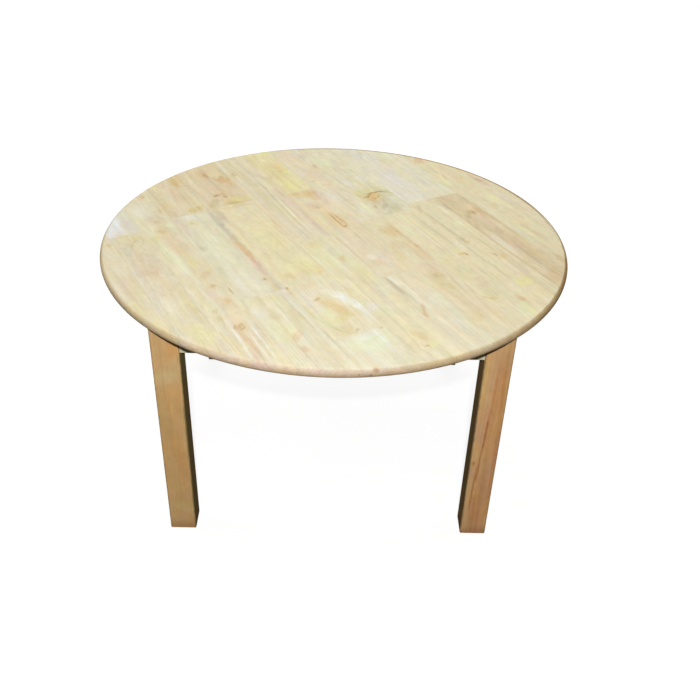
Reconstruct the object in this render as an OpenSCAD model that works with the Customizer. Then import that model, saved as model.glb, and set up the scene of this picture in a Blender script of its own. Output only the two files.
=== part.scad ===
// Low round table. The top is a disc glued up from straight staves of random width. It is screwed to a
// square frame of rails, and four square legs are bolted to mitred blocks in the frame's corners.
// Millimetres. The floor is z = 0 and the origin is under the centre of the top.

/* [Top] */
// Diameter of the top
top_d = 900; // [800:10:1000]
// Height of the table's surface above the floor
table_h = 500; // [420:10:620]
// Thickness of the staves
top_t = 18; // [16:1:25]
// Radius of the rounding along the rim's upper and lower edge
rim_r = 8.5; // [2:0.5:10]
// Turn of the staves from the Y axis, seen from above
stave_turn = 29; // [0:1:90]

/* [Legs] */
// Width of each side of the square legs
leg_w = 50; // [42:1:60]
// Distance from a leg's outer corner to the rim, along the diagonal
corner_setback = 8; // [4:1:40]
// Radius of the legs' long arrises
arris_r = 4; // [1:0.5:6]
// Chamfer round the foot of a leg
foot_chamfer = 2; // [0.5:0.5:4]
// Width planed off each side of a leg's inner corner, beside the frame
leg_flat = 14; // [10:1:18]

/* [Frame] */
// Height of the rails
rail_h = 55; // [50:1:80]
// Thickness of the rails
rail_t = 20; // [18:1:25]
// Distance of the rails behind the legs' outer faces
rail_inset = 2; // [0:0.5:6]
// Rounding of the rails' lower edges
rail_edge_r = 2; // [0.5:0.5:4]
// Thickness of the corner blocks
block_t = 22; // [18:1:28]
// Distance of the blocks' lower face above the rails' lower edge
block_rise = 5; // [0:1:8]
// Gap between a block and the leg that its bolts pull in
block_gap = 3; // [1:0.5:5]

/* [Bolts] */
// Diameter of the hanger bolts
bolt_d = 8; // [6:1:8]
// Length of the hanger bolts
bolt_len = 80; // [74:1:90]
// Depth that a hanger bolt is driven into its leg
bolt_bite = 38; // [30:1:42]
// Distance between the two bolts of a leg
bolt_pitch = 26; // [22:1:28]
// Diameter of the bolt holes in the blocks
bolt_hole_d = 9; // [8.5:0.5:10]
// Outer diameter of the washers
washer_d = 16; // [14:1:20]
// Thickness of the washers
washer_t = 1.6; // [1:0.2:2.4]
// Width across flats of the nuts
nut_af = 13; // [12:1:15]
// Height of the nuts
nut_h = 6.5; // [5:0.5:8]

/* [Screws] */
// Diameter of the screws
screw_d = 4; // [3.5:0.5:5]
// Diameter of the screws' heads
screw_head_d = 8; // [7:0.5:8.5]
// Height of the screws' heads
screw_head_h = 2.8; // [2:0.2:3.4]
// Diameter of the counterbores for the heads
counterbore_d = 9; // [9:0.5:10]
// Length of the screws from the blocks into the rails
block_screw_len = 25; // [20:1:26]
// Wood left in a block under a screw's head
block_seat = 8; // [6:1:9]
// Length of the screws from the rails into the top
top_screw_len = 45; // [40:1:48]
// Depth that these screws reach into the top
top_bite = 12; // [8:1:13]
// Distance between the top's screws along a rail
top_screw_pitch = 170; // [120:5:180]

/* [Glides] */
// Diameter of the glides under the legs
glide_d = 20; // [16:1:28]
// Height of the glides
glide_h = 3; // [2:0.5:5]
// Diameter of the nails in the glides
nail_d = 2; // [1.6:0.2:3]
// Length of the nails
nail_len = 17; // [12:1:25]

/* [Hidden] */
// Play round every shank in its hole
shank_gap = 0.1;
// Floor of plastic left under a nail's end
nail_floor = 1;
// Length by which a cutter runs past what it cuts
past = 1;
// Length past any part of the table
far = 1000;
$fn = 48;

// Width of the outermost stave on either side, at the rim
edge_stave_w = 50;
// Widths of the rows between them, which share out the rest of the top's diameter
row_shares = [65, 71, 88, 94, 78, 65, 62, 82, 62, 65, 68];
// Places along each row where two staves butt, from the near end to the far one
butt_joints = [[], [175], [-172], [-140, 207], [-320, -118, 213], [5], [-182, 213], [30], [33], [60], [60], [], []];

// Sum of the first n values of a list
function sum_to(list, n) = n == 0 ? 0 : list[n - 1] + sum_to(list, n - 1);
row_scale = (top_d - 2 * edge_stave_w) / sum_to(row_shares, len(row_shares));
// Long joints between the rows, from left to right, and the two outermost sides, which lie past the rim
long_joints = [for (i = [0:len(row_shares)]) edge_stave_w - top_d / 2 + row_scale * sum_to(row_shares, i)];
row_sides = concat([-far], long_joints, [far]);
// Each stave as its name, its two sides and its two ends
STAVES = [for (row = [0:len(butt_joints) - 1]) let (ends = concat([-far], butt_joints[row], [far]))
    for (k = [0:len(ends) - 2])
        [str("stave_", chr(97 + row), k + 1), row_sides[row], row_sides[row + 1], ends[k], ends[k + 1]]];

CORNERS = ["front_left", "front_right", "back_right", "back_left"];
SIDES = ["front", "right", "back", "left"];

// Levels
under_top = table_h - top_t;
rail_bottom = under_top - rail_h;
block_bottom = rail_bottom + block_rise;
block_h = under_top - block_bottom;
// Half of the distance between the legs' outer faces
half_span = (top_d / 2 - corner_setback) / sqrt(2);
leg_inside = half_span - leg_w;
rail_outside = half_span - rail_inset;
rail_inside = rail_outside - rail_t;
rail_len = 2 * leg_inside;
leg_len = under_top - glide_h;
leg_centre = half_span - leg_w / 2;
rim_round = min(rim_r, top_t / 2 - 0.25);
// Distances from the centre along a diagonal
leg_face = leg_inside * sqrt(2) + leg_flat / sqrt(2);
block_front = leg_face - block_gap;
block_back = block_front - block_t;
rail_corner = rail_inside * sqrt(2);
bolt_levels = [for (k = [-1, 1]) block_bottom + block_h / 2 + k * bolt_pitch / 2];
// Place of a block's screws along the rail, at the middle of the face that meets it
block_screw_place = rail_inside - sqrt(2) * (rail_corner - (block_front + block_back) / 2);
// Depth of the counterbores under the rails
top_screw_seat = top_screw_len - top_bite;
glide_edge_r = glide_h / 3;

pale_wood = [0.93, 0.88, 0.72];
cream_wood = [0.90, 0.85, 0.70];
honey_wood = [0.74, 0.56, 0.36];
block_wood = [0.85, 0.76, 0.58];
zinc = [0.72, 0.74, 0.76];
nylon = [0.93, 0.93, 0.90];

// Turns a part made for the front left corner or the front side to place i, counter-clockwise
module at_place(i) {
    rotate([0, 0, 90 * i])
        children();
}

// Lays a part along the front left diagonal, with its X axis pointing away from the centre
module on_diagonal() {
    rotate([0, 0, 225])
        children();
}

// Flat outline of a square with rounded corners
module rounded_square(width, radius) {
    square([width - 2 * radius, width], center = true);
    square([width, width - 2 * radius], center = true);
    for (x = [-1, 1], y = [-1, 1])
        translate([x * (width / 2 - radius), y * (width / 2 - radius)])
            circle(radius);
}

// Pan-head screw pointing up, with its seat at z = 0 and a crossed recess in the head
module pan_screw(length) {
    slot_w = screw_d / 4;
    slot_l = screw_head_d * 0.55;
    dome_r = screw_head_h / 2;
    recess_h = screw_head_h * 0.6;
    difference() {
        rotate_extrude() {
            square([screw_d / 2, length - screw_d]);
            polygon([[0, length - screw_d], [screw_d / 2, length - screw_d], [0, length]]);
            translate([0, dome_r - screw_head_h])
                square([screw_head_d / 2, screw_head_h - dome_r]);
            translate([0, -screw_head_h])
                square([screw_head_d / 2 - dome_r, screw_head_h]);
            translate([screw_head_d / 2 - dome_r, dome_r - screw_head_h])
                circle(dome_r);
        }
        for (turn = [0, 90])
            rotate([0, 0, turn])
                translate([-slot_l / 2, -slot_w / 2, -screw_head_h - past])
                    cube([slot_l, slot_w, recess_h + past]);
    }
}

// Hole for a screw's shank and its counterbore, in the same place as pan_screw
module screw_hole(length, bore_depth) {
    cylinder(d = screw_d + 2 * shank_gap, h = length + shank_gap);
    translate([0, 0, -bore_depth])
        cylinder(d = counterbore_d, h = bore_depth);
}

// Places of the screws that rise from the rails into the top
module at_top_screws() {
    for (i = [0:3], k = [-1:1])
        at_place(i)
            translate([k * top_screw_pitch, -(rail_inside + rail_outside) / 2, under_top - top_screw_seat])
                children();
}

// Places of the screws that go from one corner's block into its two rails, pointing outwards
module at_block_screws() {
    for (level = bolt_levels, swap = [0, 1])
        mirror([swap, -swap, 0])
            translate([-block_screw_place, -rail_inside + block_seat, level])
                rotate([90, 0, 0])
                    children();
}

// Places of the two bolts of the front left leg, pointing away from the centre
module at_bolts() {
    on_diagonal()
        for (level = bolt_levels)
            translate([0, 0, level])
                rotate([0, 90, 0])
                    children();
}

// Whole disc of the top, with its rim rounded over above and below
module top_disc() {
    translate([0, 0, under_top])
        rotate_extrude($fn = 180) {
            square([top_d / 2 - rim_round, top_t]);
            translate([0, rim_round])
                square([top_d / 2, top_t - 2 * rim_round]);
            for (z = [rim_round, top_t - rim_round])
                translate([top_d / 2 - rim_round, z])
                    circle(rim_round);
        }
}

// One stave, cut from the disc along its joints, with the pilot holes of the top's screws
module stave(s) {
    color(pale_wood)
        difference() {
            intersection() {
                top_disc();
                rotate([0, 0, stave_turn])
                    translate([s[1], s[3], under_top - past])
                        cube([s[2] - s[1], s[4] - s[3], top_t + 2 * past]);
            }
            at_top_screws()
                cylinder(d = screw_d + 2 * shank_gap, h = top_screw_len + shank_gap);
        }
}

// Upright slab as wide as a leg, with its two lower edges chamfered
module foot_slab() {
    translate([0, leg_w, 0])
        rotate([90, 0, 0])
            linear_extrude(2 * leg_w)
                polygon([[foot_chamfer - leg_w / 2, 0], [leg_w / 2 - foot_chamfer, 0],
                    [leg_w / 2, foot_chamfer], [leg_w / 2, leg_len],
                    [-leg_w / 2, leg_len], [-leg_w / 2, foot_chamfer]]);
}

// Leg at the front left corner
module leg() {
    color(honey_wood)
        difference() {
            translate([-leg_centre, -leg_centre, glide_h])
                intersection() {
                    linear_extrude(leg_len)
                        rounded_square(leg_w, arris_r);
                    foot_slab();
                    rotate([0, 0, 90])
                        foot_slab();
                }
            // Flat for the bolts on the inner corner, as high as the frame
            on_diagonal()
                translate([leg_face - leg_w, -leg_w, rail_bottom])
                    cube([leg_w, 2 * leg_w, rail_h + past]);
            at_bolts()
                cylinder(d = bolt_d + 2 * shank_gap, h = leg_face + bolt_bite + shank_gap);
            // Hole for the glide's nail
            translate([-leg_centre, -leg_centre, 0])
                cylinder(d = nail_d + 2 * shank_gap, h = nail_floor + nail_len + shank_gap);
        }
}

// Front rail, drilled from below for the top's screws and from behind for the blocks' screws
module rail() {
    color(cream_wood)
        difference() {
            translate([-rail_len / 2, -(rail_inside + rail_outside) / 2, rail_bottom])
                rotate([90, 0, 90])
                    linear_extrude(rail_len) {
                        translate([-rail_t / 2, rail_edge_r])
                            square([rail_t, rail_h - rail_edge_r]);
                        translate([rail_edge_r - rail_t / 2, 0])
                            square([rail_t - 2 * rail_edge_r, rail_edge_r]);
                        for (side = [-1, 1])
                            translate([side * (rail_t / 2 - rail_edge_r), rail_edge_r])
                                circle(rail_edge_r);
                    }
            for (k = [-1:1])
                translate([k * top_screw_pitch, -(rail_inside + rail_outside) / 2, under_top - top_screw_seat])
                    screw_hole(top_screw_len, rail_h);
            for (side = [-1, 1], level = bolt_levels)
                translate([side * block_screw_place, -rail_inside + block_seat, level])
                    rotate([90, 0, 0])
                        cylinder(d = screw_d + 2 * shank_gap, h = block_screw_len + shank_gap);
        }
}

// Block across the front left corner, with mitred ends that lie flat on the rails
module corner_block() {
    color(block_wood)
        difference() {
            on_diagonal()
                translate([0, 0, block_bottom])
                    linear_extrude(block_h)
                        polygon([[block_front, block_front - rail_corner],
                            [block_front, rail_corner - block_front],
                            [block_back, rail_corner - block_back],
                            [block_back, block_back - rail_corner]]);
            at_bolts()
                cylinder(d = bolt_hole_d, h = far);
            at_block_screws()
                screw_hole(block_screw_len, far);
        }
}

// Bolts of the front left leg: a wood thread with a point in the leg, a machine thread inside the frame
module hanger_bolts() {
    tip = leg_face + bolt_bite;
    end = tip - bolt_len;
    bevel = bolt_d / 8;
    color(zinc)
        at_bolts()
            rotate_extrude()
                polygon([[0, end], [bolt_d / 2 - bevel, end], [bolt_d / 2, end + bevel],
                    [bolt_d / 2, tip - bolt_d], [0, tip]]);
}

// Washers of the front left leg, against the inside of the block
module bolt_washers() {
    color(zinc)
        at_bolts()
            translate([0, 0, block_back - washer_t])
                rotate_extrude()
                    translate([bolt_d / 2 + shank_gap, 0])
                        square([washer_d / 2 - bolt_d / 2 - shank_gap, washer_t]);
}

// Hexagon nuts of the front left leg, chamfered at both ends
module bolt_nuts() {
    corner_r = nut_af / sqrt(3);
    drop = (corner_r - nut_af / 2) * tan(30);
    color(zinc)
        at_bolts()
            translate([0, 0, block_back - washer_t - nut_h])
                difference() {
                    intersection() {
                        cylinder(r = corner_r, h = nut_h, $fn = 6);
                        rotate_extrude()
                            polygon([[0, 0], [nut_af / 2, 0], [corner_r, drop],
                                [corner_r, nut_h - drop], [nut_af / 2, nut_h], [0, nut_h]]);
                    }
                    translate([0, 0, -past])
                        cylinder(d = bolt_d + 2 * shank_gap, h = nut_h + 2 * past);
                }
}

// Screws from the front left block into its rails
module block_screws() {
    color(zinc)
        at_block_screws()
            pan_screw(block_screw_len);
}

// Screws from all the rails into the top
module top_screws() {
    color(zinc)
        at_top_screws()
            pan_screw(top_screw_len);
}

// Glide under the front left leg, a disc with a rounded lower edge
module glide() {
    color(nylon)
        translate([-leg_centre, -leg_centre, 0])
            difference() {
                rotate_extrude() {
                    square([glide_d / 2 - glide_edge_r, glide_h]);
                    translate([0, glide_edge_r])
                        square([glide_d / 2, glide_h - glide_edge_r]);
                    translate([glide_d / 2 - glide_edge_r, glide_edge_r])
                        circle(glide_edge_r);
                }
                translate([0, 0, nail_floor])
                    cylinder(d = nail_d + 2 * shank_gap, h = glide_h);
            }
}

// Nail of the front left glide, pointing up into the leg
module glide_nail() {
    color(zinc)
        translate([-leg_centre, -leg_centre, nail_floor])
            rotate_extrude()
                polygon([[0, 0], [nail_d / 2, 0], [nail_d / 2, nail_len - nail_d], [0, nail_len]]);
}

for (s = STAVES)
    stave(s);
for (i = [0:3])
    at_place(i) leg();
for (i = [0:3])
    at_place(i) rail();
for (i = [0:3])
    at_place(i) corner_block();
for (i = [0:3])
    at_place(i) glide();
for (i = [0:3]) at_place(i) hanger_bolts();
for (i = [0:3]) at_place(i) bolt_washers();
for (i = [0:3]) at_place(i) bolt_nuts();
for (i = [0:3]) at_place(i) block_screws();
top_screws();
for (i = [0:3]) at_place(i) glide_nail();  // glide_nails
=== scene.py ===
"""Looks of a low round wooden table: a top glued up from 27 staves on four square legs.

Patterns are laid out in millimetres in each piece's own grain frame: X runs across the board, Y along the
grain and Z through the thickness.
"""
import math

import bmesh
import bpy
from mathutils import Euler, Matrix, Vector


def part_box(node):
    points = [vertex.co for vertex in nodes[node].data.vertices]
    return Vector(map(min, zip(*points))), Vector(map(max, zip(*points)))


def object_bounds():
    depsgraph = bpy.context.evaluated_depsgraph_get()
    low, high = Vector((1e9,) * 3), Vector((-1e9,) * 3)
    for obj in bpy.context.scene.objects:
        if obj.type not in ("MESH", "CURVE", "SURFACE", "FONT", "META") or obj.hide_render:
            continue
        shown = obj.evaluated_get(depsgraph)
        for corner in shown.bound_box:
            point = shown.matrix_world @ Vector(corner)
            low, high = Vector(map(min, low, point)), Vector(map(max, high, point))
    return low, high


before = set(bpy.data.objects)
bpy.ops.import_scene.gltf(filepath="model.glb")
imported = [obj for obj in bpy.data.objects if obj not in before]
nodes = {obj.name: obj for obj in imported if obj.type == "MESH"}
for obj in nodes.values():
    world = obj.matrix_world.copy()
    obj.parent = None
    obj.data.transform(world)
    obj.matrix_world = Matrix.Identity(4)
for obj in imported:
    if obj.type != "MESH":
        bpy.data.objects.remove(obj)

cad_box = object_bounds()

MM = 0.001
TO_MM = 1000.0
ORIGIN = (0.0, 0.0, 0.0)
WHITE = (1.0, 1.0, 1.0, 1.0)

# Camera at the photograph's viewpoint: metres for its place, degrees, and millimetres for lens and sensor
CAMERA_PLACE = (-0.001, -1.5467, 1.3036)
CAMERA_TURN = 1.407
CAMERA_DOWN = 34.854
CAMERA_ROLL = 2.189
CAMERA_LENS = 45.27
SENSOR = 36.0

# Turn of the top's staves from the Y axis, seen from above, and the top's heights and radius
STAVE_TURN = 29.0
TOP_UNDER, TOP_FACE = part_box("stave_g2")[0].z * TO_MM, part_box("stave_g2")[1].z * TO_MM
TOP_REACH = cad_box[1][0] * TO_MM

# Directions in the staves' frame, from the middle of the top: where its rim gets painted shade, where its
# back gets a dark margin, and where its rim gets a painted highlight
SHADED_SIDE = (1.0, 0.0, 0.0)
DARK_BACK = (0.87, 0.50, 0.0)
LIT_SIDE = (-0.60, -0.80, 0.0)

# Where the dark margin round the back starts and is full, as squared shares of the radius
MARGIN = (0.942, 0.960)

# Depths of the marks and knots of the top and of the marks of a leg, in millimetres
MARK_DEPTH = 9.0
KNOT_DEPTH = 40.0
STREAK_DEPTH = 12.0

# Each board comes from its own place in the noise, so many steps away
SEED_STEP = (137.0, 911.0, 53.0)
SEEDS = {"stave": 3.0, "leg": 41.0, "rail": 61.0, "block": 81.0}


def rgb(red, green, blue):
    """Linear colour of an sRGB one, given as 0 to 255."""
    def linear(value):
        share = value / 255
        return share / 12.92 if share <= 0.04045 else ((share + 0.055) / 1.055) ** 2.4
    return (linear(red), linear(green), linear(blue), 1.0)


# Tones of the lacquered wood
TONES = {
    "whitish": rgb(227, 222, 203),
    "pale": rgb(228, 222, 194),
    "straw": rgb(230, 220, 184),
    "cream": rgb(227, 217, 184),
    "yellow": rgb(228, 218, 169),
    "lilac": rgb(227, 219, 197),
    "green": rgb(224, 218, 188),
    "peach": rgb(229, 214, 180),
    "tan": rgb(224, 210, 174),
    "umber": rgb(220, 203, 168),
    "honey": rgb(236, 191, 132),
    "russet": rgb(232, 182, 136),
    "sand": rgb(238, 199, 140),
}

# Factors by which a stain changes the wood's own red, green and blue
STAINS = {
    "white": (1.08, 1.15, 1.36, 1.0),
    "lilac": (1.02, 1.03, 1.18, 1.0),
    "green": (1.01, 1.10, 1.04, 1.0),
    "lime": (1.02, 1.06, 0.92, 1.0),
    "olive": (0.97, 0.95, 0.80, 1.0),
    "moss": (0.92, 0.97, 0.92, 1.0),
    "orange": (0.97, 0.86, 0.68, 1.0),
    "ginger": (1.04, 0.86, 0.66, 1.0),
    "tan": (0.94, 0.88, 0.80, 1.0),
    "pink": (1.03, 0.94, 0.95, 1.0),
    "plum": (0.97, 0.91, 0.98, 1.0),
    "red": (0.96, 0.82, 0.75, 1.0),
    "cedar": (0.78, 0.58, 0.46, 1.0),
    "brown": (0.86, 0.76, 0.66, 1.0),
    "bark": (0.72, 0.58, 0.44, 1.0),
    "slate": (0.90, 0.90, 0.88, 1.0),
    "navy": (0.82, 0.80, 0.82, 1.0),
    # Painted shade for the dark inner sides of the front legs
    "side_shade": (0.52, 0.60, 0.58, 1.0),
}

# Factors of what the grain does
WARM_DARK = (0.80, 0.70, 0.55, 1.0)
GREY_DARK = (0.78, 0.74, 0.66, 1.0)
PALE_LIGHT = (1.07, 1.08, 1.14, 1.0)
PORE_DARK = (0.55, 0.42, 0.28, 1.0)
END_DARK = (0.86, 0.74, 0.66, 1.0)

# Strength and factors of the glue in the joints, the rim's own colour and specks, and the painted shade and
# highlight on the rim, the arrises and the feet
WEAR_AND_SHADE = {
    "glue": (0.22, (0.66, 0.52, 0.38, 1.0)),
    "rim": (0.75, (0.92, 0.80, 0.68, 1.0)),
    "low rim shade": (0.9, (1.0, 0.92, 0.84, 1.0)),
    "under rim shade": (0.3, (0.70, 0.56, 0.40, 1.0)),
    "rim shade and margin": (1.0, (0.49, 0.36, 0.20, 1.0)),
    "rim highlight": (1.0, (1.08, 1.07, 1.28, 1.0)),
    "specks": (0.6, (0.55, 0.42, 0.30, 1.0)),
    "arris": (0.5, (0.86, 0.84, 0.74, 1.0)),
    "foot": (0.8, (0.70, 0.58, 0.50, 1.0)),
}

# Strength of the fibres, and of a knot's halo and rim as shares of the knot's own
FIBRES = 0.08
KNOT_HALO = 0.5
KNOT_RIM = 0.7

# What streaks, the sanded rim and end grain add to the roughness
STREAK_DULL = 0.10
RIM_DULL = 0.30
END_DULL = 0.15

# How far a board's red, green and blue swing with its light, its yellowness and its redness
SWINGS = {"X": (0.15, 0.155, 0.18), "Y": (0.03, 0.0, -0.20), "Z": (0.04, -0.06, -0.04)}


# Short ways of building node trees

def feed(tree, plug, value):
    """Gives an input a socket to follow, or a constant."""
    if isinstance(value, bpy.types.NodeSocket):
        tree.links.new(value, plug)
    else:
        plug.default_value = value


def add(tree, kind, inputs=(), **fields):
    """Adds a shader node with its fields set and its inputs fed."""
    made = tree.nodes.new("ShaderNode" + kind)
    for field, value in fields.items():
        setattr(made, field, value)
    for plug, value in dict(inputs).items():
        feed(tree, made.inputs[plug], value)
    return made


def calc(tree, operation, *values):
    return add(tree, "Math", enumerate(values), operation=operation).outputs["Value"]


def times(tree, first, second):
    return calc(tree, "MULTIPLY", first, second)


def vector(tree, operation, *values):
    made = add(tree, "VectorMath", enumerate(values), operation=operation)
    return made.outputs["Value" if operation in ("LENGTH", "DOT_PRODUCT") else "Vector"]


def scaled(tree, value, factor):
    return add(tree, "VectorMath", {0: value, "Scale": factor}, operation="SCALE").outputs["Vector"]


def parts(tree, value):
    """The X, Y and Z of a vector."""
    return add(tree, "SeparateXYZ", {0: value}).outputs


def sideways(tree, value):
    """Vector that points across the board by a value."""
    return add(tree, "CombineXYZ", {"X": value}).outputs["Vector"]


def ease(tree, value, low, high, out_low=0.0, out_high=1.0):
    """Smooth step from out_low to out_high as the value goes from low to high."""
    made = add(tree, "MapRange", interpolation_type="SMOOTHSTEP")
    for plug, given in zip(made.inputs, (value, low, high, out_low, out_high)):
        feed(tree, plug, given)
    return made.outputs["Result"]


def mix(tree, share, first, second, way="MIX"):
    """Mixes two colours by a share."""
    made = add(tree, "Mix", data_type="RGBA", blend_type=way)
    feed(tree, made.inputs[0], share)
    feed(tree, made.inputs[6], first)
    feed(tree, made.inputs[7], second)
    return made.outputs[2]


def noise(tree, place, size, detail=2.0, roughness=0.5, output="Fac"):
    """Noise whose features are as large as size, in millimetres along X, Y and Z."""
    spread = vector(tree, "DIVIDE", place, size)
    made = add(tree, "TexNoise", {"Vector": spread, "Scale": 1.0, "Detail": detail, "Roughness": roughness})
    return made.outputs[output]


def waver(tree, place, size, detail=2.0, roughness=0.5):
    """Noise that lies evenly round 0."""
    return calc(tree, "SUBTRACT", noise(tree, place, size, detail, roughness), 0.5)


def drift(tree, place, size, detail=1.0, roughness=0.5):
    """Three noises at once that lie evenly round 0."""
    return vector(tree, "SUBTRACT", noise(tree, place, size, detail, roughness, "Color"), (0.5, 0.5, 0.5))


def new_group(name, inputs):
    """Shader group with inputs given as name: default. Returns it and the sockets it starts from."""
    tree = bpy.data.node_groups.new(name, "ShaderNodeTree")
    for socket, default in inputs.items():
        kind = "NodeSocketFloat" if isinstance(default, float) else "NodeSocketVector"
        made = tree.interface.new_socket(name=socket, in_out="INPUT", socket_type=kind)
        made.default_value = default
    return tree, tree.nodes.new("NodeGroupInput").outputs


def close_group(tree, outputs):
    """Gives a group its outputs, as name: socket."""
    end = tree.nodes.new("NodeGroupOutput").inputs
    for socket, value in outputs.items():
        kind = "NodeSocketVector" if value.type == "VECTOR" else "NodeSocketFloat"
        tree.interface.new_socket(name=socket, in_out="OUTPUT", socket_type=kind)
        feed(tree, end[socket], value)
    return tree


def use(tree, group, **inputs):
    """Places a group and feeds its inputs, named with _ for the spaces."""
    made = tree.nodes.new("ShaderNodeGroup")
    made.node_tree = group
    for name, value in inputs.items():
        feed(tree, made.inputs[name.replace("_", " ")], value)
    return made.outputs


# Effects that several materials share

def make_swirl():
    """Bends a board's own frame a little, so that nothing in the grain has a straight or a round edge."""
    tree, start = new_group("Grain swirl", {"Place": ORIGIN, "Tree": ORIGIN, "Amount": 1.0})
    place = vector(tree, "ADD", start["Place"], start["Tree"])
    sway = vector(tree, "MULTIPLY", drift(tree, place, (46.0, 210.0, 46.0), 2.0), (15.0, 50.0, 0.0))
    shiver = vector(tree, "MULTIPLY", drift(tree, place, (7.0, 22.0, 7.0)), (2.6, 9.0, 0.0))
    both = scaled(tree, vector(tree, "ADD", sway, shiver), start["Amount"])
    return close_group(tree, {
        "Place": vector(tree, "ADD", start["Place"], both),
        "Ragged": waver(tree, place, (6.0, 17.0, 6.0), 3.0, 0.6)})


def make_figure():
    """Rings, streaks, lines, blotches, tints, ticks, flecks, fibres and pores of one board."""
    tree, start = new_group("Wood figure", {
        "Place": ORIGIN, "Tree": ORIGIN, "Pith": (20.0, 0.0, -60.0), "Tilt": (0.06, 0.0, 0.02),
        "Ring width": 4.0, "Wave": 14.0})
    board = start["Place"]
    place = vector(tree, "ADD", board, start["Tree"])
    elsewhere = vector(tree, "ADD", place, (400.0, 900.0, 70.0))
    leaning = scaled(tree, start["Tilt"], parts(tree, board)["Y"])
    from_pith = vector(tree, "ADD", vector(tree, "SUBTRACT", board, start["Pith"]), leaning)
    radius = vector(tree, "LENGTH", vector(tree, "MULTIPLY", from_pith, (1.0, 0.0, 1.0)))
    waved = calc(tree, "MULTIPLY_ADD", waver(tree, place, (70.0, 420.0, 70.0)), start["Wave"], radius)
    ring = calc(tree, "FRACT", calc(tree, "DIVIDE", waved, start["Ring width"]))

    broad = noise(tree, place, (11.0, 520.0, 11.0), 3.0, 0.6)
    narrow = noise(tree, place, (3.2, 150.0, 3.2), 2.0, 0.6)
    both = calc(tree, "MULTIPLY_ADD", narrow, 0.3, times(tree, broad, 0.7))
    line = waver(tree, elsewhere, (2.6, 300.0, 2.6), 1.0)
    gathered = ease(tree, noise(tree, place, (30.0, 170.0, 30.0), 1.0), 0.42, 0.66)

    patches = drift(tree, place, (22.0, 46.0, 22.0))
    bands = drift(tree, elsewhere, (13.0, 260.0, 13.0), roughness=0.45)
    mottle = drift(tree, elsewhere, (9.0, 14.0, 9.0), roughness=0.45)
    banded = vector(tree, "MULTIPLY", bands, (0.9, 0.85, 0.85))
    mottled = vector(tree, "MULTIPLY", mottle, (0.9, 0.32, 0.36))
    tick = waver(tree, place, (2.1, 21.0, 2.1), 2.0, 0.6)
    cluster = ease(tree, noise(tree, elsewhere, (38.0, 80.0, 38.0)), 0.44, 0.62, 0.1, 1.0)

    cells = vector(tree, "DIVIDE", place, (1.5, 15.0, 1.5))
    pore = add(tree, "TexVoronoi", {"Vector": cells, "Scale": 1.0})
    chosen = add(tree, "SeparateColor", {0: pore.outputs["Color"]}).outputs[0]
    hole = ease(tree, pore.outputs["Distance"], 0.10, 0.20, 1.0, 0.0)
    return close_group(tree, {
        "Rings": times(tree, ease(tree, ring, 0.2, 0.92), ease(tree, ring, 0.92, 1.0, 1.0, 0.0)),
        "Streaks": ease(tree, both, 0.36, 0.64),
        "Lines": times(tree, line, gathered),
        "Blotch": ease(tree, noise(tree, place, (34.0, 110.0, 34.0), 3.0, 0.55), 0.38, 0.62),
        "Tint": vector(tree, "ADD", vector(tree, "ADD", patches, banded), mottled),
        "Ticks": times(tree, tick, cluster),
        "Flecks": ease(tree, noise(tree, place, (3.4, 22.0, 3.4), 2.0, 0.65), 0.50, 0.68),
        "Fibre": noise(tree, place, (0.7, 24.0, 0.7), 1.0),
        "Pores": times(tree, hole, ease(tree, chosen, 0.35, 0.8))})


def make_mark():
    """Soft ellipsoid with a ragged edge: a stain, a streak or a patch, which may lean across the grain."""
    tree, start = new_group("Mark", {
        "Place": ORIGIN, "Centre": ORIGIN, "Half size": (10.0, 40.0, 6.0), "Lean": 0.0, "Softness": 0.45,
        "Ragged": 0.0})
    away = vector(tree, "SUBTRACT", start["Place"], start["Centre"])
    lean = sideways(tree, times(tree, parts(tree, away)["Y"], start["Lean"]))
    upright = vector(tree, "SUBTRACT", away, lean)
    reach = vector(tree, "LENGTH", vector(tree, "DIVIDE", upright, start["Half size"]))
    ragged = calc(tree, "MULTIPLY_ADD", start["Ragged"], 1.2, reach)
    inner = calc(tree, "SUBTRACT", 1.0, start["Softness"])
    outer = calc(tree, "ADD", 1.0, start["Softness"])
    return close_group(tree, {"Mask": ease(tree, ragged, inner, outer, 1.0, 0.0)})


def make_knot():
    """Knot with a broken dark rim, rings, a stained halo, and the push that bends the grain round it."""
    tree, start = new_group("Knot", {"Place": ORIGIN, "Centre": ORIGIN, "Half size": (5.0, 7.0, 30.0)})
    away = vector(tree, "SUBTRACT", start["Place"], start["Centre"])
    reach = vector(tree, "LENGTH", vector(tree, "DIVIDE", away, start["Half size"]))
    rough = waver(tree, start["Place"], (4.0, 6.0, 4.0), 3.0, 0.6)
    ragged = calc(tree, "MULTIPLY_ADD", rough, 0.8, reach)
    rings = ease(tree, calc(tree, "SINE", times(tree, ragged, 11.0)), -1.0, 1.0, 0.55, 1.0)
    from_rim = calc(tree, "ABSOLUTE", calc(tree, "SUBTRACT", ragged, 1.0))
    broken = ease(tree, noise(tree, start["Place"], (9.0, 9.0, 9.0), 1.0), 0.42, 0.60)
    fall = calc(tree, "EXPONENT", times(tree, times(tree, reach, reach), -0.16))
    return close_group(tree, {
        "Core": ease(tree, ragged, 0.2, 1.1, 1.0, 0.0),
        "Rim": times(tree, ease(tree, from_rim, 0.05, 0.38, 1.0, 0.0), broken),
        "Halo": times(tree, ease(tree, ragged, 0.7, 3.2, 1.0, 0.0), rings),
        "Push": times(tree, times(tree, parts(tree, away)["X"], fall), -0.75)})


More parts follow.
